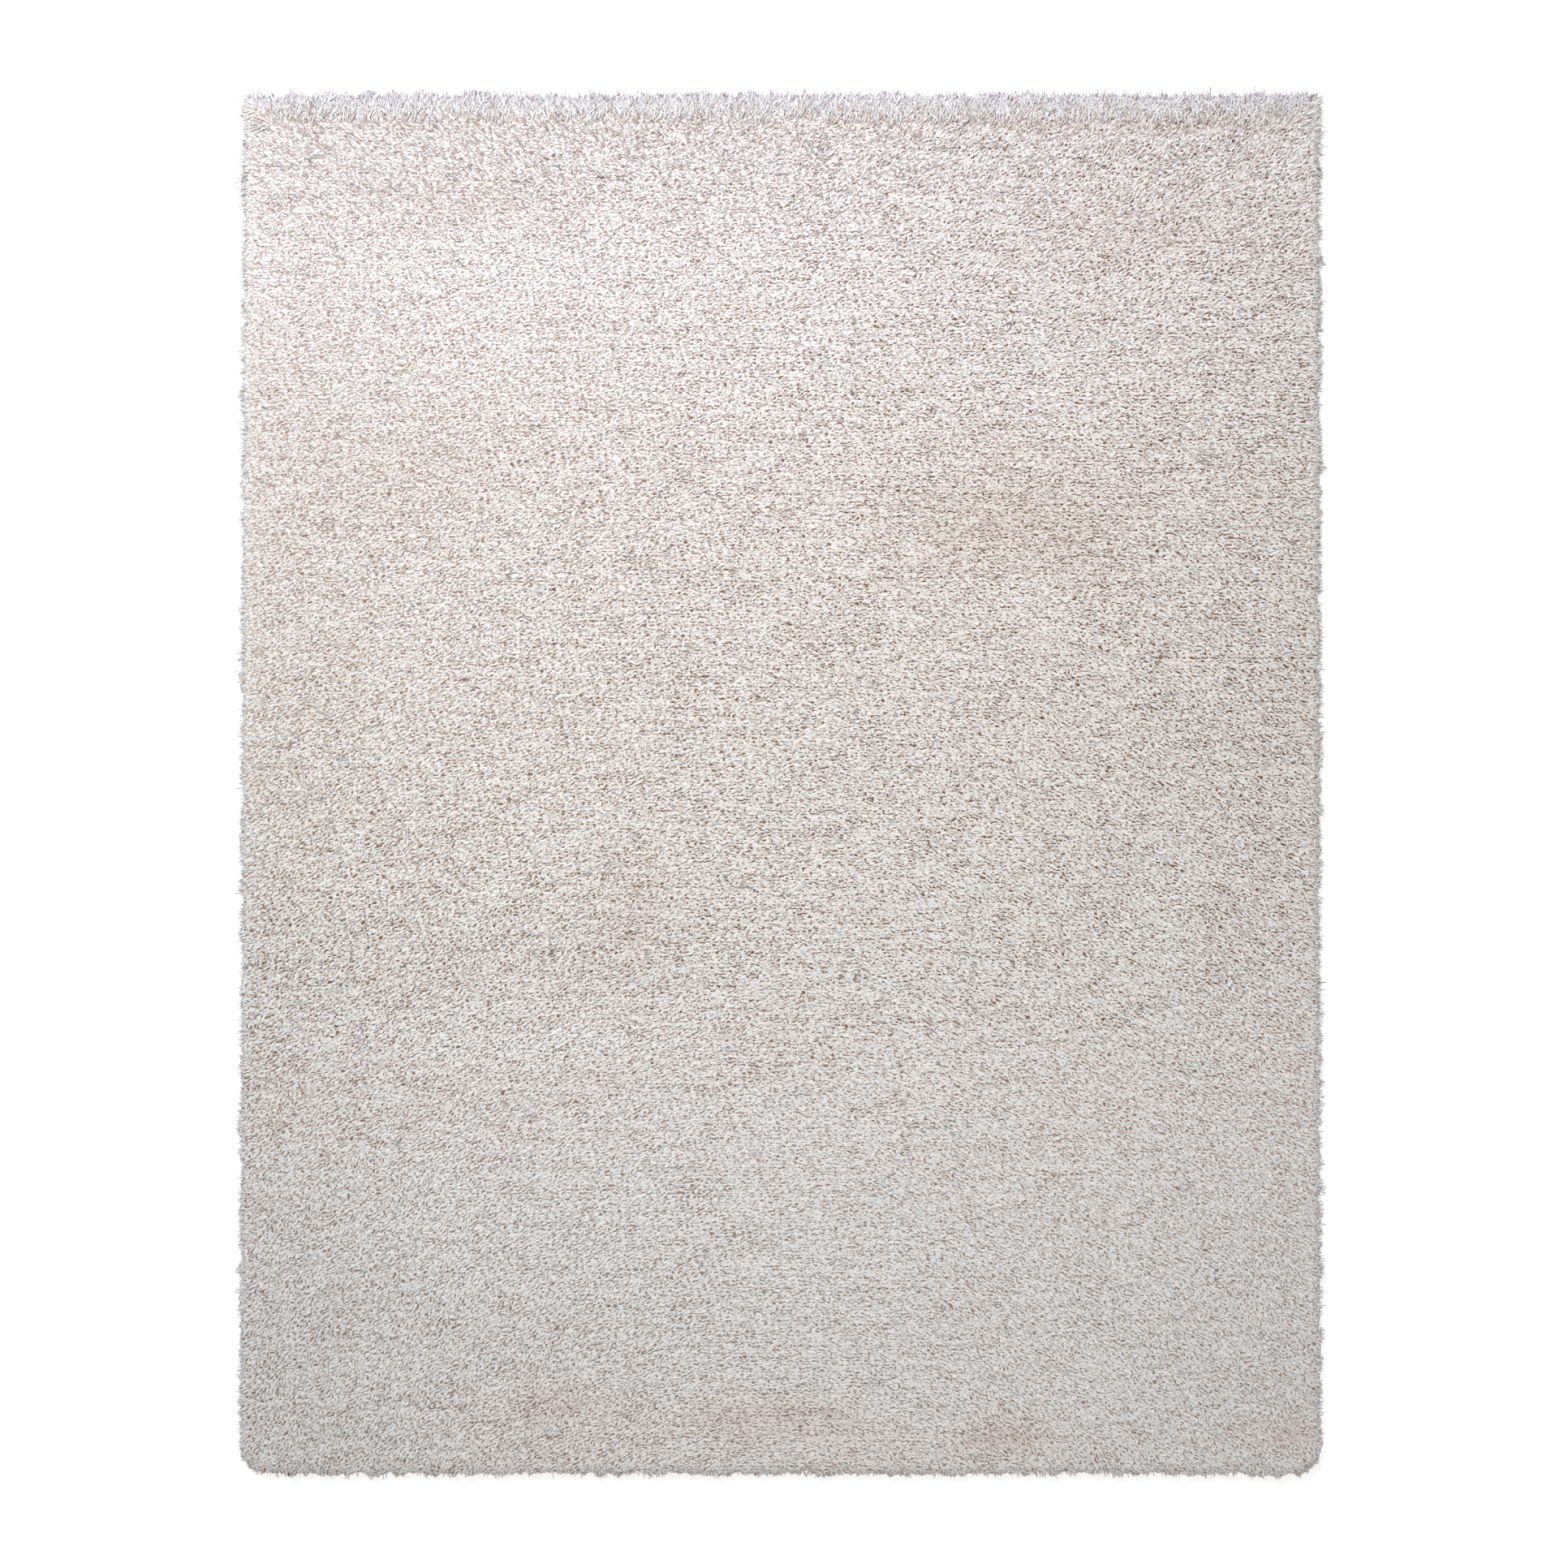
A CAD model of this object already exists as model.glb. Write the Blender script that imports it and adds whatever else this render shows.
"""Shag rug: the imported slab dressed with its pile, yarn by yarn.

Metres, +Z up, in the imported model's frame. The rug lies in X and Y with its nap combed
towards +Y. A ground cloth lies on the floor, a bed of close pile on the ground cloth, and
loose yarns lean on the bed and fall over its rim.

What changes over the rug is a function of x and y that takes whole arrays: its outline, the
bed's height, the way that its yarns lie and their shade. The pieces are made from those.
"""

import math

import bpy
import numpy as np
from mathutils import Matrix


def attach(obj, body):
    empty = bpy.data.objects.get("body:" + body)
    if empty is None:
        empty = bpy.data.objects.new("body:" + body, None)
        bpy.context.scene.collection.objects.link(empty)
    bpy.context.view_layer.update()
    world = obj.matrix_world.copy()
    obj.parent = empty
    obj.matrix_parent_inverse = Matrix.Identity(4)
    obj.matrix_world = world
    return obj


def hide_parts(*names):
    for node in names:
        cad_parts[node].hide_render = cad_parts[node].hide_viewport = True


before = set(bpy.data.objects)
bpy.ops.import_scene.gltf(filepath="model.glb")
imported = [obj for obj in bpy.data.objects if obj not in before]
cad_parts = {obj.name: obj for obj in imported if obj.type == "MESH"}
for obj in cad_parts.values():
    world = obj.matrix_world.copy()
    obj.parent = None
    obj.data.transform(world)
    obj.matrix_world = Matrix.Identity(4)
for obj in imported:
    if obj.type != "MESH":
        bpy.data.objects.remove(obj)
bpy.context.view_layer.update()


def spread(numbers):
    """Numbers, one for each point or yarn, as a column."""
    return np.asarray(numbers)[:, None]


def eased(value, low, high):
    """0 below low, 1 above high, and a smooth step between."""
    t = np.clip((value - low) / (high - low), 0, 1)
    return t * t * (3 - 2 * t)


# ---------------------------------------------------------------- the rug's plan

# The outline over the tips of the yarns: each corner's place and the radius of its turn
CORNERS = {
    "bottom left": (-1.196, -1.525, 0.072),
    "bottom right": (1.194, -1.525, 0.054),
    "top right": (1.193, 1.525, 0.016),
    "top left": (-1.187, 1.525, 0.016),
}
STEP = 0.002          # to each side of a point, to see which way leads outwards


class Plan:
    """A rectangle with turned corners: the rug's outline, drawn in by an inset on each side."""

    def __init__(self, inset):
        def drawn_in(name):
            x, y, _ = CORNERS[name]
            down, across = name.split()
            return x - math.copysign(inset[across], x), y - math.copysign(inset[down], y)

        self.low = [drawn_in("bottom " + side)[0] for side in ("left", "right")]
        self.high = [drawn_in("top " + side)[0] for side in ("left", "right")]
        self.bottom, self.top = drawn_in("bottom left")[1], drawn_in("top left")[1]
        self.width = self.low[1] - self.low[0]
        self.length = self.top - self.bottom
        self.middle = (self.top + self.bottom) / 2

    def sides(self, y):
        """The left and right edge at each height on the plan, which lean a little."""
        up = np.clip((y - self.bottom) / self.length, 0, 1)
        return [low + (high - low) * up for low, high in zip(self.low, self.high)]

    def radius(self, u, v):
        """The radius of the corner that is nearest to each point about the middle."""
        lower = np.where(u < 0, CORNERS["bottom left"][2], CORNERS["bottom right"][2])
        upper = np.where(u < 0, CORNERS["top left"][2], CORNERS["top right"][2])
        return np.where(v < 0, lower, upper)

    def point(self, u, v):
        """The plan's point for a point of a flat rectangle of its width and length.

        In each corner's square of side r the point (p, q), as shares of r, goes to
        (p root(1 - q q / 2), q root(1 - p p / 2)), which turns the square into a quarter
        disc. Then x is spread between the left and the right edge.
        """
        radius = self.radius(u, v)
        p = np.clip((abs(u) - self.width / 2) / radius + 1, 0, None)
        q = np.clip((abs(v) - self.length / 2) / radius + 1, 0, None)
        turned_u = np.sign(u) * (self.width / 2 - radius + radius * p * np.sqrt(1 - q * q / 2))
        turned_v = np.sign(v) * (self.length / 2 - radius + radius * q * np.sqrt(1 - p * p / 2))
        corner = (p > 0) & (q > 0)
        u, v = np.where(corner, turned_u, u), np.where(corner, turned_v, v)
        left, right = self.sides(v + self.middle)
        return left + (right - left) * (u / self.width + 0.5), v + self.middle

    def inside(self, x, y):
        """How far each point lies inside the edge, below 0 outside it."""
        left, right = self.sides(y)
        u, v = x - (left + right) / 2, y - self.middle
        radius = self.radius(u, v)
        a, b = abs(u) - (right - left) / 2 + radius, abs(v) - self.length / 2 + radius
        return radius - np.hypot(np.maximum(a, 0), np.maximum(b, 0)) - np.minimum(np.maximum(a, b), 0)

    def outward(self, x, y):
        """The direction away from the rug at each point: the slope of inside, turned about."""
        nx = self.inside(x - STEP, y) - self.inside(x + STEP, y)
        ny = self.inside(x, y - STEP) - self.inside(x, y + STEP)
        size = np.maximum(np.hypot(nx, ny), 1e-9)
        return nx / size, ny / size


# The ground cloth, and the pile, which falls over the cloth's edge
CLOTH = Plan({"left": 0.022, "right": 0.022, "bottom": 0.015, "top": 0.040})
PILE = Plan({"left": 0.001, "right": 0.004, "bottom": 0.0025, "top": 0.005})


# ---------------------------------------------------------------- soft patterns

# The size of one cell across and along the rug, and the seed of its random numbers
PATTERNS = {
    "clumps": (0.080, 0.014, 5),
    "clumps slanted back": (0.050, 0.0093, 6),
    "clumps moved across": (0.07, 0.05, 31),
    "clumps moved along": (0.05, 0.07, 32),
    "partings": (0.10, 0.03, 9),
    "swell": (0.16, 0.10, 7),
    "tufts": (0.020, 0.020, 51),
    "fine tufts": (0.008, 0.008, 52),
    "swirl": (0.028, 0.020, 71),
    "tan clouds": (0.12, 0.07, 11),
    "gaps": (0.110, 0.022, 63),
    "gaps moved across": (0.06, 0.04, 61),
    "gaps moved along": (0.04, 0.05, 62),
    "gaps here": (0.20, 0.05, 64),
}
CELLS = 256           # each way, before a pattern repeats


def soft(x, y, name):
    """Smooth values from -1 to 1: a random number at each cell's corner, eased between."""
    across, along, seed = PATTERNS[name]
    values = np.random.default_rng(seed).uniform(-1, 1, (CELLS, CELLS))
    u, v = x / across, y / along
    i, j = np.floor(u).astype(int), np.floor(v).astype(int)
    a, b = u - i, v - j
    a, b = a * a * (3 - 2 * a), b * b * (3 - 2 * b)
    i, j, i1, j1 = i % CELLS, j % CELLS, (i + 1) % CELLS, (j + 1) % CELLS
    return (values[i, j] * (1 - a) + values[i1, j] * a) * (1 - b) + (
        values[i, j1] * (1 - a) + values[i1, j1] * a) * b


def moved(x, y, name, across, along):
    """The points, each moved by up to across and along, so that a pattern's lines waver."""
    return (x + across * soft(x, y, name + " moved across"),
            y + along * soft(x, y, name + " moved along"))


# ---------------------------------------------------------------- the bed's relief

GROUND = 0.0035       # thickness of the ground cloth
FOOT = 0.0012         # height of the pile's edge above the floor, past the ground cloth
CROWN = 0.0285        # mean height of the bed of close pile
RELIEF = 0.0016       # how far the bed stands above and below that
CLUMP, PARTING, SWELL = 0.55, 0.9, 0.45     # the shares of three patterns in the relief
ROLL = 0.024          # how far from its rim the bed starts to turn down
TOP_ROLL = 0.055      # and at the top, where it leans over the rim

CLUMP_SHARES = (0.6, 0.4)                   # of the clumps' two patterns in their sum
SLANT = 0.35          # of the clumps: metres across for each metre along
CLUMPS_MOVED = (0.010, 0.008)
PARTING_WIDE = 0.16   # in the sum of the two patterns
PARTED, PARTED_MORE = 0.6, 0.8              # how open partings are, and how much that changes
CALM, CALM_BELOW = 0.45, (0.35, 0.85)       # how much calmer the pile is this far below the middle

TUFT, FINE_TUFT = 0.0050, 0.0060            # how far the rim's tufts stand out or in
TUFT_DEEP = 0.020     # how far inside the rim they fade


def liveliness(y):
    """How rough the pile stands: fully in the upper two thirds, less towards the bottom."""
    return 1 - CALM * eased(-y, *CALM_BELOW)


def clumps(x, y):
    """The clumps of the bed and the partings between them.

    Two smooth patterns, slanted opposite ways and broader across the rug than along it, are
    added. A clump's height follows their sum, and a parting is a bell curve about its zero.
    """
    x, y = moved(x, y, "clumps", *CLUMPS_MOVED)
    one, other = CLUMP_SHARES
    sum_of_two = (one * soft(x + SLANT * y, y, "clumps")
                  + other * soft(x - SLANT * y, y, "clumps slanted back"))
    open_here = np.clip(PARTED + PARTED_MORE * soft(x, y, "partings"), 0, 1)
    parting = np.exp(-(sum_of_two / PARTING_WIDE) ** 2) * open_here
    return sum_of_two, parting * liveliness(y)


def bed_height(x, y):
    """Height of the bed: clumps, less partings, plus a broad swell, turned down at the rim.

    At the rim it follows a quarter of an ellipse, from the crown to just above the floor.
    """
    clump, parting = clumps(x, y)
    swell = soft(x, y, "swell")
    crown = CROWN + RELIEF * (CLUMP * clump * liveliness(y) - PARTING * parting + SWELL * swell)
    depth = np.clip(np.minimum(PILE.inside(x, y) / ROLL, (PILE.top - y) / TOP_ROLL), 0, 1)
    return FOOT + (crown - FOOT) * np.sqrt(1 - (1 - depth) ** 2)


def ragged(places):
    """The points with the rim's tufts: near the rim each moves in or out with a soft pattern."""
    x, y = places[:, 0], places[:, 1]
    nx, ny = PILE.outward(x, y)
    tuft = TUFT * soft(x, y, "tufts") + FINE_TUFT * soft(x, y, "fine tufts")
    move = tuft * np.exp(-np.maximum(PILE.inside(x, y), 0) / TUFT_DEEP)
    places[:, 0] += nx * move
    places[:, 1] += ny * move
    return places


# ---------------------------------------------------------------- how the pile lies

# Angles in degrees, from the rug's width towards its length. Up is in metres above the middle
TURN, TURN_TOP = 2, 10                      # of the whole pile, and more by the square of up
SWING, SWING_LESS, SWING_TOP = 26, 14, 10   # to each side, less by up and by its square
SWING_WIDE, SWING_SIDES = 0.6, 1.07         # how far out it swings, and a factor for all of it
SWIRL = 22                                  # of small areas, either way

LOOSE, STRICT = 4.0, 5.5                    # how strictly the marks follow the lay, as a power
COMBED = (0.2, 1.5)                         # from loose to strict, by metres out plus half of those down


def lay_angle(x, y):
    """The angle that the yarns lie at, from the rug's width.

    Across the rug it swings from one side to the other, as far as swing says, which shrinks
    towards the top. Near the top the whole pile turns a little as well, and everywhere small
    areas swirl one way or the other.
    """
    upper = np.maximum(y, 0) ** 2
    swing = SWING - SWING_LESS * y - SWING_TOP * upper
    swirl = SWIRL * soft(x, y, "swirl")
    turn = TURN + TURN_TOP * upper
    return np.radians(turn - swing * np.tanh(x / SWING_WIDE) * SWING_SIDES + swirl)


def lay_turn(x, y):
    """The cosine and sine of twice the lay's angle, and how strictly the marks follow it.

    They follow it most in the two lower corners, where the pile lies combed.
    """
    twice = 2 * lay_angle(x, y)
    strict = LOOSE + (STRICT - LOOSE) * eased(abs(x) - 0.5 * y, *COMBED)
    return np.c_[np.cos(twice), np.sin(twice), strict]


# ---------------------------------------------------------------- shades

# Yarns, as linear colours
IVORY = (0.780, 0.784, 0.785)
WHITE = (0.860, 0.855, 0.860)
BEIGE = (0.728, 0.672, 0.638)
TAN = (0.610, 0.525, 0.475)
TOP_COOL = (0.705, 0.705, 0.755)            # at the top rim
SIDE_COOL = (0.810, 0.825, 0.860)           # at the rims of the sides
GAP = (0.155, 0.093, 0.066)                 # in the shade of a gap between others
ROOT = (0.77, 0.66, 0.62)                   # a root, as a share of its yarn
RIM_ROOT = (0.88, 0.85, 0.83)               # and at the rim, where light comes in from the side

# Edges of the dark marks: at the top, across the middle and at the bottom
MAUVE = (0.72, 0.515, 0.47)
BROWN = (0.69, 0.515, 0.385)
GREY = (0.63, 0.53, 0.46)
BROWN_AT, BROWN_WIDE = 0.05, 0.75           # where they are brown
GREY_BELOW = (0.4, 1.1)                     # how far below the middle they turn grey

# Soft patches of the pile where it lies another way or where the yarn was dyed another shade
PATCHES = (
    # x, y, half width, half height, tan, lighter
    (0.52, 0.57, 0.22, 0.12, 0.60, -0.03),
    (0.53, 0.43, 0.07, 0.04, -0.25, 0.05),
    (-0.33, -0.27, 0.08, 0.12, 0.40, -0.03),
    (-0.58, -0.38, 0.40, 0.09, 0.05, -0.03),
    (-0.58, -0.56, 0.45, 0.05, -0.15, 0.03),
    (-0.67, 1.13, 0.32, 0.05, -0.20, 0.03),
    (-0.10, 0.60, 1.20, 0.38, 0.12, 0.0),
    (-0.80, 0.70, 0.25, 0.12, 0.25, -0.03),
    (0.80, 1.20, 0.35, 0.10, 0.30, -0.03),
    (-0.75, 1.28, 0.30, 0.06, 0.30, -0.03),
    (0.00, 1.455, 1.60, 0.035, 0.25, 0.0),
    (-0.95, 1.455, 0.30, 0.020, 0.35, -0.015),
    (0.80, 1.445, 0.45, 0.020, 0.35, -0.015),
    (-0.90, 1.40, 0.90, 0.22, 0.0, -0.04),
    (-1.10, 0.90, 0.25, 0.60, 0.0, -0.03),
    (-1.00, 0.95, 0.70, 0.75, 0.0, -0.042),
    (-0.60, -0.92, 0.50, 0.14, -0.15, 0.0),
    (-0.50, -1.36, 0.12, 0.04, 0.70, -0.02),
    (-0.05, -1.39, 0.20, 0.04, 0.70, -0.02),
    (0.50, -1.43, 0.10, 0.03, 0.70, -0.03),
    (1.10, -1.42, 0.07, 0.03, 0.60, -0.03),
    (0.10, -1.45, 1.00, 0.06, 0.15, 0.0),
    (-1.30, -0.30, 0.40, 1.00, 0.0, -0.10),
    (-1.30, -1.40, 0.60, 0.60, -0.05, -0.09),
    (1.30, 0.60, 0.40, 1.00, 0.0, -0.05),
    (1.25, -0.20, 0.10, 1.60, 0.0, -0.05),
    (1.30, -1.30, 0.45, 0.50, 0.0, -0.05),
    (0.00, -1.52, 1.40, 0.05, 0.0, -0.05),
)
TAN_ALL, TAN_CLOUDS = 0.12, 0.08            # how tan the whole pile is, and its clouds either way
LESS_BLUE = (0, 0, 0.013)                   # what brown shadows take from the pile's shade
LOWER, LOWER_BELOW = (0.020, 0.030, 0.036), (-0.25, 0.40)    # what it gains below the middle

# The cool shade near the rim: how wide it is and its share at the rim, at the top and sides
COOL_TOP, COOL_SIDE = (0.050, 0.9), (0.024, 0.8)
FACES_UP = 0.5                              # a rim is the top one where its y outwards is more
COOL_FULL = 0.3                             # over this much of its width it is full
COOL_UPPER, COOL_ABOVE = 0.15, (0.7, 1.3)   # its least share this far above the middle

# How strong the dark marks are, and what changes that in four parts of the rug, each between
# two heights above or below its middle
STRENGTH = 0.98
RIM_WEAKER, RIM_WIDE, RIM_ABOVE = 0.35, 0.07, (-0.9, 0.3)
SIDE_STRONGER, SIDE_ABOVE = 0.15, (-0.4, 0.2)               # for each metre to the right
UPPER_WEAKER, UPPER_SLANT, UPPER_ABOVE = 0.12, 0.4, (0.5, 1.4)
SMOOTH_WEAKER, SMOOTH_RIGHT, SMOOTH_BELOW = 0.23, 0.05, (0.30, 0.90)

# How yarns differ
UNEVEN, LIGHT_LIMITS = 0.145, (0.55, 1.09)  # in lightness, and its least and most
HUE = (0.045, 0.0, -0.045)                  # in colour
HUE_OWN, HUE_DARKER, HUE_MOST = 0.6, 0.8, 2     # by chance, by how dark they are, at most
HUE_COOL = 0.8                              # how much less where they are cool
TAN_YARNS, TAN_YARNS_MORE = 0.03, 0.08      # how many are tan, and more in tan patches
WHITE_YARNS = 0.08                          # how many are white


def tinted(x, y):
    """How tan and how light the patches make the pile at each point: a sum of round bells."""
    tan, light = np.zeros_like(x), np.zeros_like(x)
    for px, py, wide, tall, more_tan, lighter in PATCHES:
        bell = np.exp(-((x - px) / wide) ** 2 - ((y - py) / tall) ** 2)
        tan += more_tan * bell
        light += lighter * bell
    return tan, light


def browner(y):
    """How brown the shadows are: most across the middle of the rug, as a bell curve."""
    return spread(np.exp(-((y - BROWN_AT) / BROWN_WIDE) ** 2))


def shadow_shade(y):
    """The shade of a mark's edge: mauve at the top, brown across the middle and grey below."""
    low, brown = spread(eased(-y, *GREY_BELOW)), browner(y)
    return (np.array(MAUVE) * (1 - low) + np.array(GREY) * low) * (1 - brown) + np.array(BROWN) * brown


def cool_rim(x, y):
    """How cool the yarns look near the rim: wide at the top, narrow at the sides, none below."""
    _, ny = PILE.outward(x, y)
    wide, share = (np.where(ny > FACES_UP, top, side) for top, side in zip(COOL_TOP, COOL_SIDE))
    fading = eased(PILE.inside(x, y), wide * COOL_FULL, wide)
    rim = np.where(ny < -FACES_UP, 0.0, share * (1 - fading))
    return np.maximum(rim, COOL_UPPER * eased(y, *COOL_ABOVE))


def pile_shade(x, y):
    """The pile's mean shade at each point: ivory, beige in the tan patches and cool at the rim.

    It is a little less blue where the shadows are brown, and lighter and less pink below.
    """
    tan, light = tinted(x, y)
    tan = spread(np.clip(TAN_ALL + TAN_CLOUDS * soft(x, y, "tan clouds") + tan, 0, 1))
    cool = spread(cool_rim(x, y))
    cool_shade = np.where(spread(PILE.outward(x, y)[1]) > FACES_UP, TOP_COOL, SIDE_COOL)
    shade = (np.array(IVORY) * (1 - tan) + np.array(BEIGE) * tan) * (1 - cool) + cool_shade * cool
    shade = shade * (1 - browner(y) * np.array(LESS_BLUE))
    return shade * spread(1 + light) * (1 + spread(eased(-y, *LOWER_BELOW)) * np.array(LOWER))


def contrast(x, y):
    """How strong the marks are: nearly full, less or more in four parts of the rug.

    They are weaker by the rim, towards the top, soonest on the left, and most of all towards
    the bottom, where the pile lies smooth. Above the middle they are weaker on the left and
    stronger on the right.
    """
    rim = (1 - eased(PILE.inside(x, y), 0.0, RIM_WIDE)) * eased(y, *RIM_ABOVE)
    side = SIDE_STRONGER * x * eased(y, *SIDE_ABOVE)
    upper = UPPER_WEAKER * eased(y - UPPER_SLANT * x, *UPPER_ABOVE)
    lower = (SMOOTH_WEAKER + SMOOTH_RIGHT * x) * eased(-y, *SMOOTH_BELOW)
    return STRENGTH - lower - upper - RIM_WEAKER * rim + side


def yarn_shades(x, y, rng):
    """Each yarn's shade: the pile's own, and now and then a white or a tan one.

    Yarns differ in lightness, and darker ones are mostly warmer, though less so at the rim.
    """
    count = len(x)
    tan = tinted(x, y)[0]
    draw = rng.random(count)
    shade = pile_shade(x, y)
    shade[draw < TAN_YARNS + TAN_YARNS_MORE * tan] *= np.array(TAN) / np.array(IVORY)
    shade[draw > 1 - WHITE_YARNS] *= np.array(WHITE) / np.array(IVORY)
    lighter = rng.normal(0, 1, count)
    warmer = HUE_OWN * rng.normal(0, 1, count) - HUE_DARKER * lighter
    warmer = np.clip(warmer, -HUE_MOST, HUE_MOST) * (1 - HUE_COOL * cool_rim(x, y))
    shade *= 1 + spread(warmer) * np.array(HUE)
    return shade * spread(np.clip(1 + lighter * UNEVEN, *LIGHT_LIMITS))


# ---------------------------------------------------------------- the bed and the ground cloth

CELL = 0.0098         # side of one cell of the bed
RIM_LINES = (0.0, 0.0015, 0.004, 0.008, 0.013, 0.019, 0.026)   # the bed's first lines at its rim
CLOTH_CELL, CLOTH_LINES = 0.08, (0.0, 0.02, 0.04)              # and the ground cloth's

# The map for the closing bake: the bed's top fills it but for a strip below MAP_TOP, which
# has the edge of the bed's base in a row of cells and the base's flat middle under that
MAP_TOP = 0.03
MAP_EDGE = (0.014, 0.026)
MAP_BASE, MAP_MIDDLE = 0.012, (0.5, 0.002)


def new_piece(name, places, faces, finish, smooth, shades=None, chart=None):
    """A mesh object from arrays, with the origin as its own, riding on the rug's body.

    Shades are colours of its points, of three numbers or four, under the names that its
    material reads them by. A chart has its faces' corners on the map for the closing bake.
    """
    data = bpy.data.meshes.new(name)
    data.vertices.add(len(places))
    data.vertices.foreach_set("co", places.astype(np.float32).ravel())
    data.loops.add(faces.size)
    data.loops.foreach_set("vertex_index", faces.astype(np.int32).ravel())
    data.polygons.add(len(faces))
    starts = np.arange(0, faces.size, faces.shape[1], dtype=np.int32)
    data.polygons.foreach_set("loop_start", starts)
    data.update(calc_edges=True)
    if smooth:
        data.shade_smooth()
    else:
        data.shade_flat()
    for label, values in (shades or {}).items():
        four = np.c_[values, np.ones(len(values))][:, :4]
        layer = data.color_attributes.new(label, "FLOAT_COLOR", "POINT")
        layer.data.foreach_set("color", four.astype(np.float32).ravel())
    if chart is not None:
        bake_map = data.uv_layers.new(name="OFBake")
        bake_map.uv.foreach_set("vector", chart.astype(np.float32).ravel())
    data.materials.append(finish)
    piece = bpy.data.objects.new(name, data)
    bpy.context.scene.collection.objects.link(piece)
    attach(piece, "root")
    return piece


def lines(length, cell, first):
    """Grid lines from -length / 2 to length / 2: the first ones at each end, then even cells."""
    start = np.array(first)
    inner = length - 2 * start[-1]
    even = start[-1] + np.linspace(0, inner, round(inner / cell) + 1)[1:-1]
    return np.r_[start, even, length - start[::-1]] - length / 2


def grid(plan, cell, first):
    """Points of a grid over a flat rectangle of the plan's size, and its columns and rows."""
    across, along = lines(plan.width, cell, first), lines(plan.length, cell, first)
    u, v = (values.ravel() for values in np.meshgrid(across, along))
    return u, v, len(across), len(along)


def grid_faces(columns, rows):
    """Triangles of a grid of columns by rows of points, facing up."""
    first = np.arange(columns * (rows - 1)).reshape(rows - 1, columns)[:, :-1].ravel()
    a, b, c, d = first, first + 1, first + columns + 1, first + columns
    return np.r_[np.c_[a, b, c], np.c_[a, c, d]]


def rim_of(columns, rows):
    """The points round a grid, anticlockwise from its first."""
    across, up = np.arange(columns - 1), np.arange(rows - 1)
    return np.r_[across, up * columns + columns - 1, columns * rows - 1 - across,
                 columns * (rows - 1 - up)]


def strip_chart(share):
    """Places on the map for the base's strip: a row of cells, two triangles each."""
    low, high = (np.full(len(share), level) for level in MAP_EDGE)
    after = share + 1 / len(share)
    one = np.stack([np.c_[after, high], np.c_[share, high], np.c_[share, low]], 1)
    other = np.stack([np.c_[after, high], np.c_[share, low], np.c_[after, low]], 1)
    return np.r_[one, other]


def pile_bed(finish):
    """The bed of close pile: a grid over the pile's plan at bed_height, closed underneath.

    Its base rises in a strip from the rim near the floor to the edge of the ground cloth's
    top, two triangles for each point of the rim, and a fan of flat ones lies on the cloth.
    """
    u, v, columns, rows = grid(PILE, CELL, RIM_LINES)
    x, y = PILE.point(u, v)
    rim = rim_of(columns, rows)
    count, turn, middle = len(x), np.arange(len(rim)), len(x) + len(rim)
    on_cloth = CLOTH.point(u[rim] * CLOTH.width / PILE.width, v[rim] * CLOTH.length / PILE.length)
    places = ragged(np.r_[
        np.c_[x, y, bed_height(x, y)],
        np.c_[(*on_cloth, np.full(len(rim), GROUND))],
        [[0, CLOTH.middle, GROUND]],
    ])

    after, inner, inner_after = np.roll(rim, -1), count + turn, count + np.roll(turn, -1)
    upper = grid_faces(columns, rows)
    strip = np.r_[np.c_[after, rim, inner], np.c_[after, inner, inner_after]]
    fan = np.c_[np.full(len(rim), middle), inner_after, inner]
    faces = np.r_[upper, strip, fan]

    share = turn / len(rim)
    on_map = np.r_[
        np.c_[u / PILE.width + 0.5, MAP_TOP + (1 - MAP_TOP) * (v / PILE.length + 0.5)],
        np.c_[share, np.full(len(rim), MAP_BASE)],
        [MAP_MIDDLE],
    ]
    chart = on_map[faces]
    chart[len(upper):len(upper) + len(strip)] = strip_chart(share)

    x, y = places[:, 0], places[:, 1]
    shades = {"tone": np.c_[pile_shade(x, y), contrast(x, y)], "lay": lay_turn(x, y),
              "shadow": shadow_shade(y)}
    return new_piece("pile_bed", places, faces, finish, True, shades, chart)


def ground_cloth(finish):
    """The ground cloth: two flat grids, one at the floor and one at its top, and an edge between."""
    u, v, columns, rows = grid(CLOTH, CLOTH_CELL, CLOTH_LINES)
    x, y = CLOTH.point(u, v)
    count = len(x)
    upper, lower = np.c_[x, y, np.full(count, GROUND)], np.c_[x, y, np.zeros(count)]
    faces = grid_faces(columns, rows)
    rim = rim_of(columns, rows)
    after = np.roll(rim, -1)
    edge = np.r_[np.c_[rim + count, after + count, after], np.c_[rim + count, after, rim]]
    faces = np.r_[faces, faces[:, ::-1] + count, edge]
    return new_piece("ground_cloth", np.r_[upper, lower], faces, finish, False)


# ---------------------------------------------------------------- yarns

PIECES = ("pile_bottom", "pile_lower", "pile_upper", "pile_top")
PITCH = 0.00637       # between the roots of two yarns
YARN = 0.0020         # thickness of a yarn
FULLER = 1.25         # how much thicker one is that doesn't lie in a gap
YARN_LENGTH = 0.0095  # length of a yarn above the bed
SHORTER, LIVELY_LONGER, TOP_LONGER = 0.85, 0.15, 0.5     # its share where calm, and more elsewhere
SINK = 0.0025         # how deep a root lies in the bed
CLEAR = 0.0012        # how far a tip stays above the bed
FALL = 0.003          # how much lower the tips past the rim lie
LOWEST = 0.0028       # of those, above the floor
PARTING_DARKER = 0.15 # how much darker yarns in a parting are

# How yarns vary about the mean: their usual difference from it, and the least and most
THICKNESS_VARIES = (0.18, 0.6, 1.5)
LENGTH_VARIES = (0.25, 0.5, 1.8)
RISE_VARIES = (0.5, 0.15, 2.5)

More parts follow.
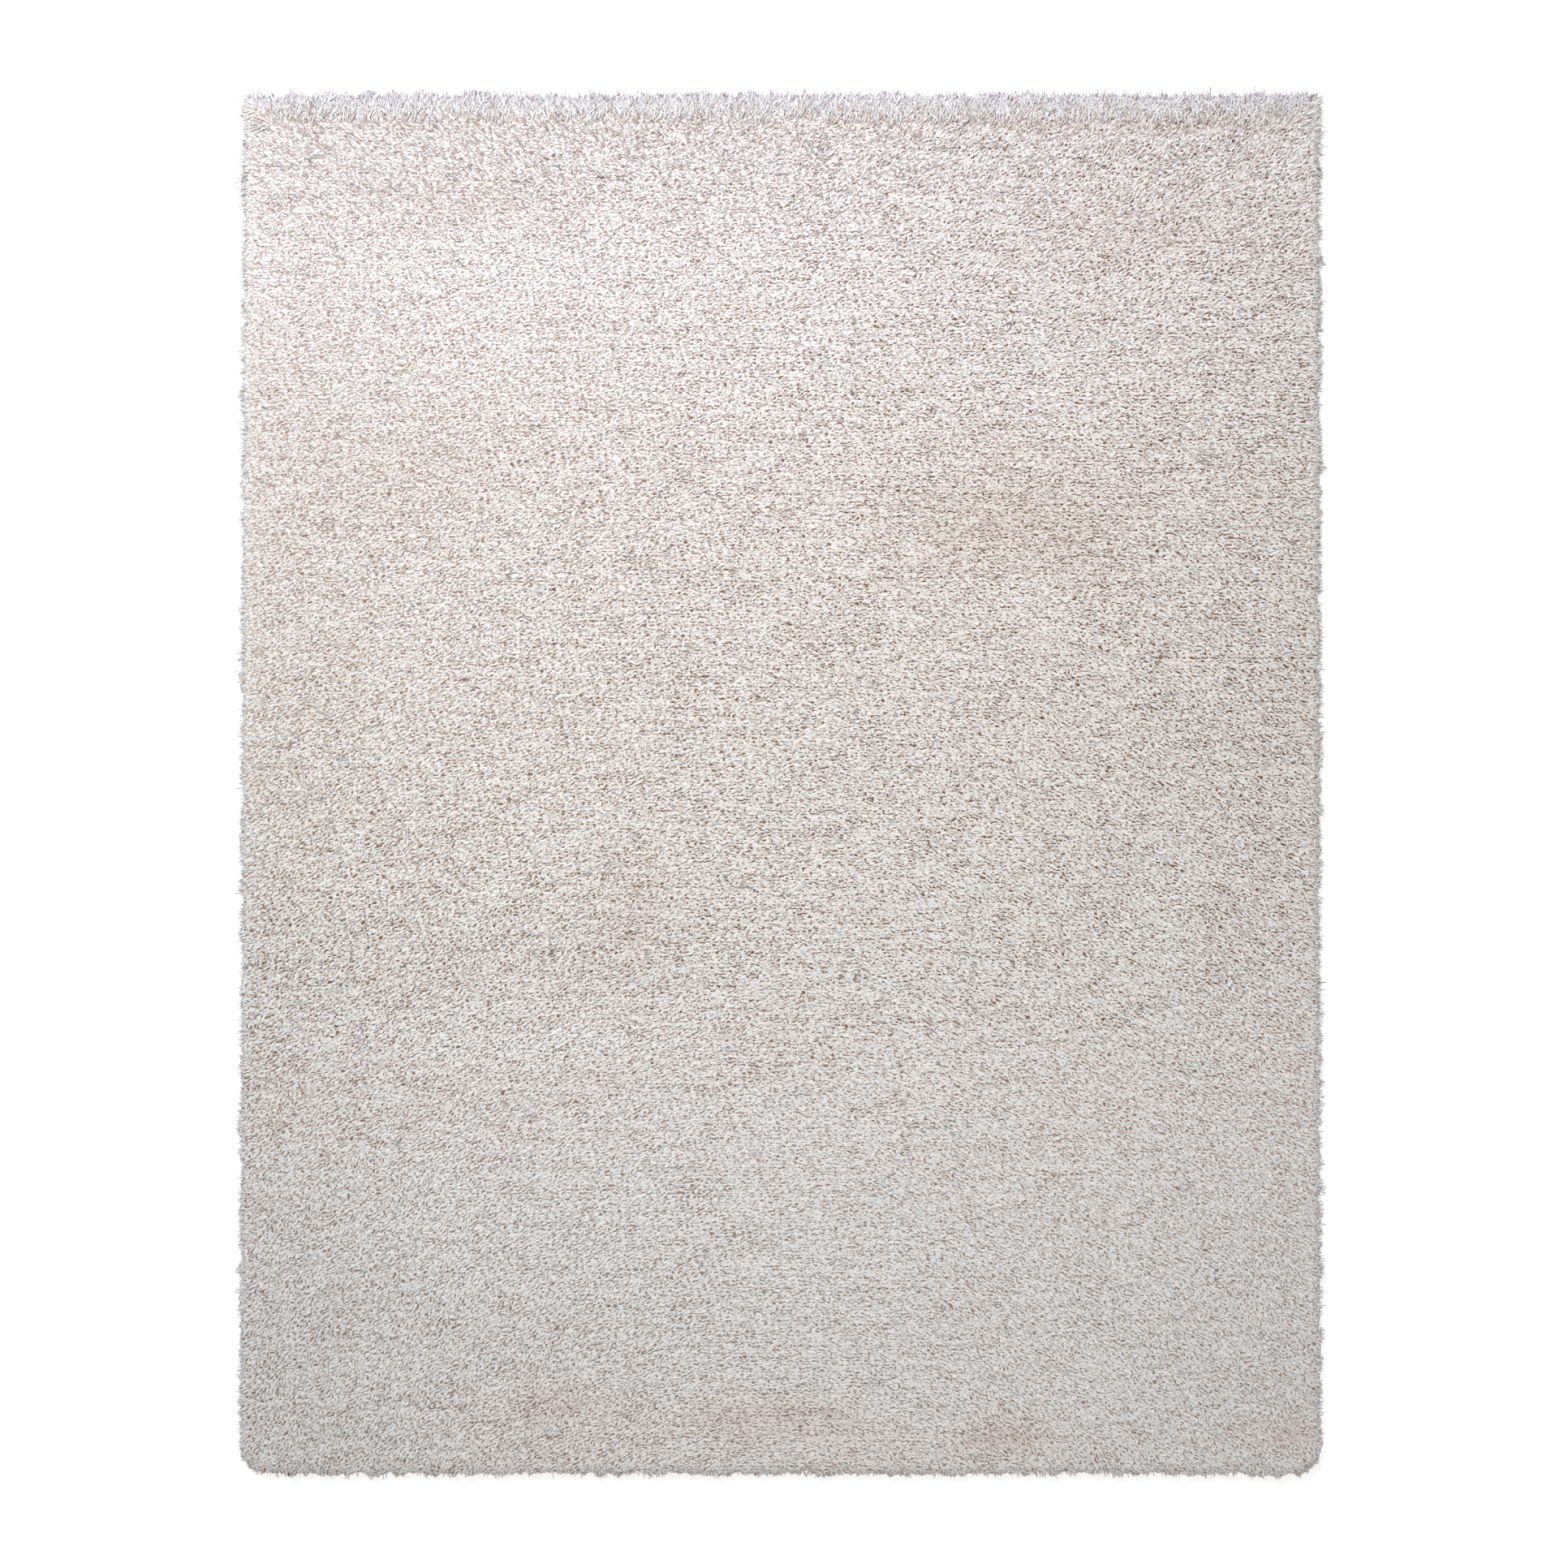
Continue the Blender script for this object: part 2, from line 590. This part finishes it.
# How yarns lean, beside their lean of 1 along the lay
STRAY = 0.65                                # how much they differ in direction, as an angle
SIDES_WIDE = 0.3                            # this far out most lean away from the rug's middle
NAP, NAP_TOP, TOP = 0.15, 0.9, (1.15, 1.48)     # towards +Y, and more near the top
RIM_LEAN, RIM_FALL, RIM_NEAR = 2.2, 0.6, 0.022  # outwards and down, and how near to the rim
RISE = 0.35                                 # how much most yarns rise
STANDING, STANDING_RISE = 0.2, (0.8, 1.8)   # how many stand up, and their rise

# Yarns in the shade of the gaps between others
GAP_LEAST, GAP_MORE = 0.03, 0.10            # how many they are, and more in a gap's line
GAPS_MOVED, GAP_LINE = (0.030, 0.012), 0.25     # how far the lines waver, and their width
GAP_LIGHT = 0.35                            # the least share of a gap's shade in one
GAP_STRAY, GAP_LONG, GAP_UP, GAP_THICK = 0.6, 1.3, 0.0012, 0.95


def varied(rng, count, usual, least, most):
    """Numbers about 1, with a normal spread of usual, kept between least and most."""
    return np.clip(1 + rng.normal(0, usual, count), least, most)


def gaps(x, y):
    """The share of yarns that lie in the shade of a gap: most along wavy lines across the rug.

    The lines are where a broad smooth pattern passes its mean, and they come and go with a
    second one.
    """
    x, y = moved(x, y, "gaps", *GAPS_MOVED)
    line = np.exp(-(soft(x, y, "gaps") / GAP_LINE) ** 2)
    here = eased(soft(x, y, "gaps here"), -0.5, 0.5)
    return (GAP_LEAST + GAP_MORE * line * here) * contrast(x, y)


def across_yarn(direction):
    """Two directions square to each yarn's and to each other, the first one level."""
    direction = direction / np.linalg.norm(direction, axis=1, keepdims=True)
    level = np.cross([0, 0, 1.0], direction)
    size = np.linalg.norm(level, axis=1, keepdims=True)
    level = np.where(size > 1e-3, level / np.maximum(size, 1e-3), [[1.0, 0, 0]])
    return level, np.cross(direction, level)


def joined(points, faces, shades):
    """Arrays of many like yarns as one mesh: points and shades are one array for each corner.

    A yarn's faces turn about where the volume that they enclose, the sum of a . (b x c) / 6
    over its faces, is below 0, so that all face outwards.
    """
    count, corners = len(points[0]), len(points)
    places = ragged(np.stack(points, 1).reshape(-1, 3))
    colours = np.stack(shades, 1).reshape(-1, 3)
    faces = np.array(faces)[None] + corners * np.arange(count)[:, None, None]
    a, b, c = (places[faces[..., corner]] for corner in range(3))
    inside_out = (a * np.cross(b, c)).sum((1, 2)) < 0
    faces = np.where(inside_out[:, None, None], faces[..., ::-1], faces)
    return places, faces.reshape(-1, 3), colours


def short_yarns(root, tip, thick, shade, root_shade):
    """Closed slivers of four faces: an edge across the root and one across the tip, a quarter
    turn apart, as the flat sides of a twisted yarn are."""
    level, steep = across_yarn(tip - root)
    one, other = (level + steep) * math.sqrt(0.5), (level - steep) * math.sqrt(0.5)
    half = spread(thick / 2)
    points = [root - one * half, root + one * half, tip - other * half, tip + other * half]
    faces = [[0, 2, 1], [0, 1, 3], [0, 3, 2], [1, 2, 3]]
    return joined(points, faces, [root_shade, root_shade, shade, shade])


def bent_yarns(root, knee, tip, thick, shade, root_shade):
    """Closed bent yarns of eight faces: a pointed root, a three-sided knee and a blunt tip."""
    level, steep = across_yarn(tip - root)
    half = spread(thick / 2)
    ring = [knee + (level * math.cos(turn) + steep * math.sin(turn)) * half
            for turn in (-math.pi / 2, math.pi / 6, math.pi * 5 / 6)]
    points = [root, *ring, tip - level * half * 0.6, tip + level * half * 0.6]
    faces = [[0, 2, 1], [0, 3, 2], [0, 1, 3], [1, 2, 4], [1, 4, 5], [1, 5, 3], [2, 3, 5], [2, 5, 4]]
    mid_shade = (shade * 2 + root_shade) / 3
    return joined(points, faces, [root_shade, mid_shade, mid_shade, mid_shade, shade, shade])


def scattered(rng):
    """Points all over the pile's plan: a random one in each cell of an even grid."""
    columns, rows = round(PILE.width / PITCH), round(PILE.length / PITCH)
    u, v = np.meshgrid((np.arange(columns) + 0.5) / columns - 0.5, (np.arange(rows) + 0.5) / rows - 0.5)
    u = (u + rng.uniform(-0.5, 0.5, u.shape) / columns).ravel() * PILE.width
    v = (v + rng.uniform(-0.5, 0.5, v.shape) / rows).ravel() * PILE.length
    return PILE.point(u, v)


def leaning(x, y, shaded, rng):
    """Each yarn's direction: along the lay, to one side or the other, and a little up.

    Most lean away from the rug's middle. The nap's lean towards +Y, which is strongest at
    the top, and a strong lean outwards and down at the rim are added, and some stand up.
    """
    count = len(x)
    out_x, out_y = PILE.outward(x, y)
    near_rim = np.exp(-PILE.inside(x, y) / RIM_NEAR)
    angle = lay_angle(x, y) + rng.normal(0, STRAY, count) * np.where(shaded, GAP_STRAY, 1.0)
    side = np.where(rng.random(count) < 0.5 + 0.5 * np.tanh(x / SIDES_WIDE), 1.0, -1.0)
    lean_x = side * np.cos(angle) + RIM_LEAN * near_rim * out_x
    lean_y = side * np.sin(angle) + NAP + NAP_TOP * eased(y, *TOP) + RIM_LEAN * near_rim * out_y
    size = np.maximum(np.hypot(lean_x, lean_y), 1e-6)
    rise = RISE * varied(rng, count, *RISE_VARIES)
    rise = np.where(rng.random(count) < STANDING, rng.uniform(*STANDING_RISE, count), rise)
    rise = rise * (1 - near_rim) - RIM_FALL * near_rim
    direction = np.c_[lean_x / size, lean_y / size, rise]
    return direction / np.linalg.norm(direction, axis=1, keepdims=True)


def pile(rng):
    """The pile's loose yarns: roots scattered over the bed, each yarn leaning its own way.

    They are longest at the top, and each tip stays clear of the bed. Those in the shade of a
    gap are longer, stray less and are darker.
    """
    x, y = scattered(rng)
    count = len(x)
    shaded = rng.random(count) < gaps(x, y)
    direction = leaning(x, y, shaded, rng)
    longer = SHORTER + LIVELY_LONGER * liveliness(y) + TOP_LONGER * eased(y, *TOP)
    length = YARN_LENGTH * varied(rng, count, *LENGTH_VARIES) * longer
    length = length * np.where(shaded, GAP_LONG, 1.0)

    root = np.c_[x, y, np.maximum(bed_height(x, y) - SINK, 2 * FOOT)]
    tip = root + direction * spread(length)
    tip_x, tip_y, high = tip.T
    high = np.maximum(high, bed_height(tip_x, tip_y) + CLEAR) + GAP_UP * shaded
    past_rim = PILE.inside(tip_x, tip_y) < 0
    tip[:, 2] = np.where(past_rim, np.maximum(high - FALL, LOWEST), high)

    shade = yarn_shades(x, y, rng) * spread(1 - PARTING_DARKER * clumps(x, y)[1])
    deep = spread(rng.uniform(GAP_LIGHT, 1.0, count))
    shade = np.where(spread(shaded), shade * (1 - deep) + np.array(GAP) * deep, shade)
    thick = YARN * varied(rng, count, *THICKNESS_VARIES) * np.where(shaded, GAP_THICK, FULLER)
    return root, tip, thick, shade, shade * np.array(ROOT)


def pile_pieces(finish, rng):
    """The pile's yarns as four joined meshes, from the bottom of the rug to its top."""
    yarns = pile(rng)
    count = len(yarns[0])
    cuts = [round(count * part / len(PIECES)) for part in range(len(PIECES) + 1)]
    for name, start, end in zip(PIECES, cuts, cuts[1:]):
        places, faces, colours = short_yarns(*(part[start:end] for part in yarns))
        yield new_piece(name, places, faces, finish, False, {"tone": colours})


# Yarns that fall over the rim: how many a metre, how far in their roots lie at most and how
# much these gather at the edge, how far past it they reach, how much they stray, how thick
# they are and how high their tips may be
RIM_YARNS = {
    "top": {"a_metre": 2300, "deepest": 0.080, "gather": 1.9, "reach": (-0.014, 0.009),
            "stray": 0.80, "thickness": 0.0030, "highest": 0.020},
    "left": {"a_metre": 800, "deepest": 0.022, "gather": 1.0, "reach": (-0.010, 0.005),
             "stray": 0.60, "thickness": 0.0030, "highest": 0.020},
    "right": {"a_metre": 800, "deepest": 0.022, "gather": 1.0, "reach": (-0.010, 0.005),
              "stray": 0.60, "thickness": 0.0030, "highest": 0.020},
    "bottom": {"a_metre": 650, "deepest": 0.018, "gather": 1.0, "reach": (-0.009, 0.003),
               "stray": 0.60, "thickness": 0.0034, "highest": 0.018},
}
LONGEST = (0.024, 0.040)                    # the most that one goes outwards, seen from above
KNEE_AT = (0.45, 0.62)                      # the place of its knee, as a share of its way
KNEE_UP, KNEE_UP_VARIES = 0.002, (0.3, 1.2)     # how far its knee is above a straight yarn
KNEE_UP_MORE = 0.10                         # and more for each metre outwards
RIM_FULLER = 1.15                           # how much thicker it is


def side_yarns(side, rng, a_metre, deepest, gather, reach, stray, thickness, highest):
    """One side's yarns, rooted along the rim, each bent over it until its tip is near the floor.

    A yarn starts in the bed, passes a knee part of the way out and above the straight line
    between its ends, and ends by the pile's edge.
    """
    level = side in ("top", "bottom")
    sign = 1 if side in ("top", "right") else -1
    span, half = (PILE.width, PILE.length / 2) if level else (PILE.length, PILE.width / 2)
    count = round(a_metre * span)
    along = (np.arange(count) + rng.uniform(0, 1, count)) / count * span - span / 2
    edge = sign * (half - deepest * rng.uniform(0.02, 1, count) ** gather)
    x, y = PILE.point(*((along, edge) if level else (edge, along)))
    nx, ny = PILE.outward(x, y)
    gone = np.minimum(rng.uniform(*reach, count) + PILE.inside(x, y), rng.uniform(*LONGEST, count))
    astray = gone * stray * rng.normal(0, 0.5, count)
    way = np.c_[nx, ny] * spread(gone) + np.c_[-ny, nx] * spread(astray)

    root = np.c_[x, y, np.maximum(bed_height(x, y) - SINK, FOOT)]
    high = rng.uniform(0.0, 1.0, count) ** 1.3
    tip = np.c_[x + way[:, 0], y + way[:, 1], FOOT + highest * high]
    tip[:, 2] = np.maximum(tip[:, 2], bed_height(tip[:, 0], tip[:, 1]) + 0.0015)
    share = rng.uniform(*KNEE_AT, count)
    knee = root * spread(1 - share) + tip * spread(share)
    knee[:, 2] += KNEE_UP * rng.uniform(*KNEE_UP_VARIES, count) + KNEE_UP_MORE * gone
    over_bed = bed_height(knee[:, 0], knee[:, 1]) + 0.001
    knee[:, 2] = np.maximum(np.maximum(knee[:, 2], over_bed), LOWEST)

    shade = yarn_shades(tip[:, 0], tip[:, 1], rng) * spread(0.90 + 0.12 * high)
    thick = thickness * varied(rng, count, *THICKNESS_VARIES) * RIM_FULLER
    return root, knee, tip, thick, shade, shade * np.array(RIM_ROOT)


def rim_yarns(finish, rng):
    """The yarns of all four sides as one joined mesh."""
    sides = [side_yarns(side, rng, **facts) for side, facts in RIM_YARNS.items()]
    places, faces, colours = bent_yarns(*(np.concatenate(values) for values in zip(*sides)))
    return new_piece("rim_yarns", places, faces, finish, False, {"tone": colours})


# ---------------------------------------------------------------- finishes

class Value:
    """A number that changes over a surface. Arithmetic on it adds Math nodes."""

    def __init__(self, finish, socket):
        self.finish, self.socket = finish, socket

    def maths(self, operation, *numbers):
        """A Math node's output for one or two numbers."""
        return self.finish.node("ShaderNodeMath", {"operation": operation}, *numbers)

    def __add__(self, other):
        return self.maths("ADD", self, other)

    def __mul__(self, other):
        return self.maths("MULTIPLY", self, other)

    def __sub__(self, other):
        return self.maths("SUBTRACT", self, other)

    def __rsub__(self, other):
        return self.maths("SUBTRACT", other, self)

    __radd__, __rmul__ = __add__, __mul__

    def eased(self, low, high, start=0.0, end=1.0):
        """A smooth step from start at low to end at high."""
        return self.finish.node("ShaderNodeMapRange", {"interpolation_type": "SMOOTHSTEP"},
                                self, low, high, start, end)

    def beside(self, name):
        """Another output of the node that this one comes from."""
        return Value(self.finish, self.socket.node.outputs[name])


class Finish:
    """A material, with its shader's nodes made by one method."""

    def __init__(self, name, **constants):
        self.material = bpy.data.materials.new(name)
        self.material.use_nodes = True
        self.tree = self.material.node_tree
        self.shader = self.tree.nodes["Principled BSDF"]
        self.surface(**constants)

    def put(self, socket, value):
        """Links a value to a socket, or sets it to a constant."""
        if isinstance(value, Value):
            self.tree.links.new(value.socket, socket)
        else:
            socket.default_value = value

    def surface(self, **values):
        """Sets or links sockets of the shader, named with _ for a space."""
        for name, value in values.items():
            self.put(self.shader.inputs[name.replace("_", " ")], value)

    def node(self, kind, settings, *values, out=0, **named):
        """A node's output, from its type, its settings and its sockets in order or by name."""
        node = self.tree.nodes.new(kind)
        for name, value in settings.items():
            setattr(node, name, value)
        usable = [socket for socket in node.inputs if socket.enabled]
        for socket, value in zip(usable, values):
            self.put(socket, value)
        for name, value in named.items():
            self.put(next(s for s in usable if s.name == name.replace("_", " ")), value)
        outputs = [socket for socket in node.outputs if socket.enabled]
        return Value(self, outputs[out] if isinstance(out, int) else node.outputs[out])

    def place(self):
        """The surface's own coordinates, in metres."""
        return self.node("ShaderNodeTexCoord", {}, out="Object")

    def scaled(self, place, across, along, turn=0.0):
        """Coordinates in which one unit is across by along metres, in a frame turned about Z."""
        return self.node("ShaderNodeMapping", {"vector_type": "TEXTURE"}, Vector=place,
                         Rotation=(0, 0, turn), Scale=(across, along, 1))

    def noise(self, place, detail=1.0, out=0):
        """Smooth noise from 0 to 1, with one feature for each unit of a place."""
        return self.node("ShaderNodeTexNoise", {"noise_dimensions": "2D"}, Vector=place,
                         Scale=1.0, Detail=detail, Roughness=0.5, out=out)

    def mixed(self, share, one, other, blend="MIX"):
        """A colour between two, each a value or three numbers."""
        one, other = ((*value, 1.0) if isinstance(value, tuple) else value for value in (one, other))
        return self.node("ShaderNodeMix", {"data_type": "RGBA", "blend_type": blend},
                         Factor=share, A=one, B=other)

    def from_mesh(self, name):
        """The colour of the mesh's points that has this name."""
        return self.node("ShaderNodeAttribute", {"attribute_name": name}, out="Color")

    def raised(self, height, strength, distance):
        """The surface's normal, tilted as if the height stood up from it by distance."""
        return self.node("ShaderNodeBump", {}, Strength=strength, Distance=distance, Height=height)


def yarn_finish():
    """Matt twisted wool-like yarn in its own shade, from the mesh's colours."""
    yarn = Finish("yarn", Roughness=0.9, Specular_IOR_Level=0.15, Sheen_Weight=0.1)
    yarn.surface(Base_Color=yarn.from_mesh("tone"))
    return yarn.material


# The close pile's pattern is a level that falls from yarns' tips to the marks between them.
# The size of a form is across and along the rug, but for a mark's and a row's
WAVY_CELL, WAVY = 0.010, (0.010, 0.006, 0.0)    # small waves, and how far they move the rest
WAYS = 6                                    # in which marks lie, over half a turn
MARK_LONG, MARK_WIDE = 0.0072, 0.0036       # a mark's size along the lay and across it
GRAIN = 0.6                                 # how strong marks are in the level
EVEN_POWER, EVEN = 0.25, 0.67               # keep them as strong however strict the lay is
ROW, ROW_SHIFT = 0.0080, 0.37               # a row of yarns' width, and each way's shift in rows
RIPPLE, RIPPLE_STRICT = 0.045, 0.022        # how strong rows are, and more where strict
DRIFT, DRIFT_TURNS = (0.020, 0.012), 1.6    # areas between which rows shift, and how far
BAND, BAND_MORE = (0.130, 0.016), 0.18      # light and dark bands, and how strong they are
CHAIN, CHAIN_WIDE = (0.055, 0.014), 0.06    # chains that marks gather in, and their width
CHAIN_MORE, CHAIN_LESS = 0.11, -0.02        # the level's fall in chains and between them
OPEN, OPEN_FROM = (0.12, 0.02), (0.35, 0.60)    # areas where chains show

# What the level and the yarns' shades do to the pile's own shade
MARK_FULL, MARK_NONE = -0.27, -0.02         # a mark is full below one level, gone above the other
MARK = (0.20, 0.152, 0.12)                  # a full mark's shade, as a share of its edge's
EDGES, EDGES_MOST = (-0.28, 0.05), 0.72     # levels at which its edge shows, and how much
TIPS, TIPS_MOST = (0.08, 0.30), 0.2         # levels at which tips are whiter, and how much
HEATHER, HEATHER_FROM, HEATHER_MOST = (0.009, 0.004), (0.60, 0.80), 0.25    # beige yarns
RAISED, BUMP, BUMP_HIGH = (-0.35, 0.35), 0.8, 0.002     # levels that show as height


def mark_level(bed, place):
    """How high the close pile is at each point: 0 on the whole, and low in the dark marks.

    The marks are the low ends of six stretched patterns, turned by equal steps and added up
    in shares. A pattern's share is (1 + cos 2(its angle - the lay's angle)) / 2, raised to
    the power of how strictly marks follow the lay. A ripple of rows runs along each. The
    level also changes in bands, and falls in chains, the lines where a broad pattern passes
    its mean.
    """
    small = bed.noise(bed.scaled(place, WAVY_CELL, WAVY_CELL), out="Color")
    wavy = bed.node("ShaderNodeVectorMath", {"operation": "MULTIPLY_ADD"}, small, WAVY, place)
    lay = bed.node("ShaderNodeSeparateColor", {}, bed.from_mesh("lay"))
    turn_cos, turn_sin, strict = (lay.beside(name) for name in ("Red", "Green", "Blue"))
    chains = bed.noise(bed.scaled(wavy, *CHAIN))
    chains = chains.maths("ABSOLUTE", chains - 0.5).eased(0.0, CHAIN_WIDE, CHAIN_MORE, CHAIN_LESS)
    open_here = bed.noise(bed.scaled(place, *OPEN)).eased(*OPEN_FROM)
    level = (bed.noise(bed.scaled(wavy, *BAND)) - 0.5) * BAND_MORE - chains * open_here
    drift = bed.noise(bed.scaled(place, *DRIFT)) * DRIFT_TURNS
    even = strict.maths("POWER", strict, EVEN_POWER) * EVEN
    rippled = strict * RIPPLE_STRICT + RIPPLE
    for way in range(WAYS):
        turn = math.pi * way / WAYS
        on_lay = bed.scaled(wavy, MARK_LONG, MARK_WIDE, turn)
        row = bed.node("ShaderNodeSeparateXYZ", {}, on_lay).beside("Y") * (MARK_WIDE / ROW)
        ripple = row.maths("SINE", (row + drift + ROW_SHIFT * way) * (2 * math.pi))
        twice_cos, twice_sin = 0.5 * math.cos(2 * turn), 0.5 * math.sin(2 * turn)
        likeness = turn_cos * twice_cos + turn_sin * twice_sin + 0.5
        share = likeness.maths("POWER", likeness, strict)
        marks = (bed.noise(on_lay, 0.0) - 0.5) * GRAIN
        level = level + (marks + ripple * rippled) * share * even
    return level


def bed_finish():
    """Close pile seen from its tips: short dark marks between yarns, and heather shades.

    The pile's own shade is the mesh's tone, with beige yarns here and there and the highest
    tips whiter. A mark's edge is in the mesh's shadow shade and its middle in a share of
    that, as strongly as the tone's fourth number says.
    """
    bed = Finish("close pile", Roughness=0.9, Specular_IOR_Level=0.15)
    place = bed.place()
    tone, shadow = bed.from_mesh("tone"), bed.from_mesh("shadow")
    level = mark_level(bed, place)
    heather = bed.noise(bed.scaled(place, *HEATHER), 0.0)
    shade = bed.mixed(heather.eased(*HEATHER_FROM) * HEATHER_MOST, tone, BEIGE)
    shade = bed.mixed(level.eased(*TIPS) * TIPS_MOST, shade, WHITE)
    shade = bed.mixed(level.eased(*EDGES, EDGES_MOST, 0.0), shade, shadow)
    marks = level.eased(MARK_FULL, MARK_NONE, 1.0, 0.0) * tone.beside("Alpha")
    shade = bed.mixed(marks, shade, bed.mixed(1.0, shadow, MARK, "MULTIPLY"))
    bed.surface(Base_Color=shade, Normal=bed.raised(level.eased(*RAISED), BUMP, BUMP_HIGH))
    return bed.material


THREAD = 0.0042       # between two threads of the ground cloth
THREAD_HIGH = 0.001   # how far one stands up
FLUFF = 0.003         # the size of its fluff
COTTON_DARK, COTTON_LIGHT = (0.30, 0.25, 0.19), (0.66, 0.59, 0.48)


def weave_finish():
    """Plain weave of undyed cotton: warp and weft pass over each other in turn.

    Warp and weft are sines of x and y. Where their product is above 0 the warp lies on top
    and the height there is the warp's square, and elsewhere it is the weft's.
    """
    weave = Finish("ground weave", Roughness=0.95, Specular_IOR_Level=0.1)
    place = weave.place()
    x = weave.node("ShaderNodeSeparateXYZ", {}, place)
    warp, weft = (value.maths("SINE", value * (math.pi / THREAD)) for value in (x, x.beside("Y")))
    over = (warp * weft).eased(-0.3, 0.3)
    height = warp.maths("MAXIMUM", warp * warp * over, weft * weft * (1 - over))
    fluff = weave.noise(weave.scaled(place, FLUFF, FLUFF), 3.0)
    shade = (height * 0.8 + fluff * 0.4).eased(0.15, 0.95)
    weave.surface(Base_Color=weave.mixed(shade, COTTON_DARK, COTTON_LIGHT),
                  Normal=weave.raised(height, 0.6, THREAD_HIGH))
    return weave.material


# ---------------------------------------------------------------- the stage

CAMERA_HEIGHT = 3.8
CAMERA_RIGHT = 0.0063                 # how far right of the rug's middle the photo's middle is
PILE_HEIGHT = 0.02                    # where the photo's scale holds
HALF_FRAME = 966 / 668.5 * 1.194      # half the photo in pixels, over half the rug, in metres
SENSOR = 36
KEY_PLACE, KEY_SIDE, KEY_POWER = (-1.6, 3.2, 4.0), 2.5, 235
SKY, SKY_STRENGTH = (1.0, 0.970, 0.945, 1), 0.577
FLOOR_HALF, FLOOR_DOWN, FLOOR_GLOW = 9.0, 0.0005, 0.65


def stage():
    """A pale floor, soft light from above the top left corner, and a camera straight above."""
    scene = bpy.context.scene
    data = bpy.data.meshes.new("floor")
    corners = [(-FLOOR_HALF, -FLOOR_HALF, 0), (FLOOR_HALF, -FLOOR_HALF, 0),
               (FLOOR_HALF, FLOOR_HALF, 0), (-FLOOR_HALF, FLOOR_HALF, 0)]
    data.from_pydata(corners, [], [(0, 1, 2, 3)])
    floor = bpy.data.objects.new("floor", data)
    scene.collection.objects.link(floor)
    floor.location.z = -FLOOR_DOWN
    pale = Finish("pale floor", Base_Color=(0.5, 0.5, 0.5, 1), Roughness=1.0, Specular_IOR_Level=0.0,
                  Emission_Color=(1, 1, 1, 1), Emission_Strength=FLOOR_GLOW)
    data.materials.append(pale.material)

    world = bpy.data.worlds.new("studio")
    scene.world = world
    world.use_nodes = True
    sky = world.node_tree.nodes["Background"]
    sky.inputs["Color"].default_value = SKY
    sky.inputs["Strength"].default_value = SKY_STRENGTH

    light = bpy.data.lights.new("key", "AREA")
    light.shape, light.size, light.size_y = "RECTANGLE", KEY_SIDE, KEY_SIDE
    light.energy = KEY_POWER
    key = bpy.data.objects.new("key", light)
    scene.collection.objects.link(key)
    key.location = KEY_PLACE
    key.rotation_euler = (-key.location).to_track_quat("-Z", "Y").to_euler()

    lens = bpy.data.cameras.new("camera")
    camera = bpy.data.objects.new("camera", lens)
    scene.collection.objects.link(camera)
    camera.location = (CAMERA_RIGHT, 0, CAMERA_HEIGHT)
    lens.sensor_width = SENSOR
    lens.lens = SENSOR / 2 / (HALF_FRAME / (CAMERA_HEIGHT - PILE_HEIGHT))
    scene.camera = camera
    scene.view_settings.view_transform = "Standard"


def main():
    """The stage, then the bed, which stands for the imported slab, its yarns and the cloth."""
    rng = np.random.default_rng(24)
    stage()
    yarn = yarn_finish()
    bed = pile_bed(bed_finish())
    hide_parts("shag_rug")
    pieces = [bed, *pile_pieces(yarn, rng), rim_yarns(yarn, rng)]
    cloth = ground_cloth(weave_finish())


main()
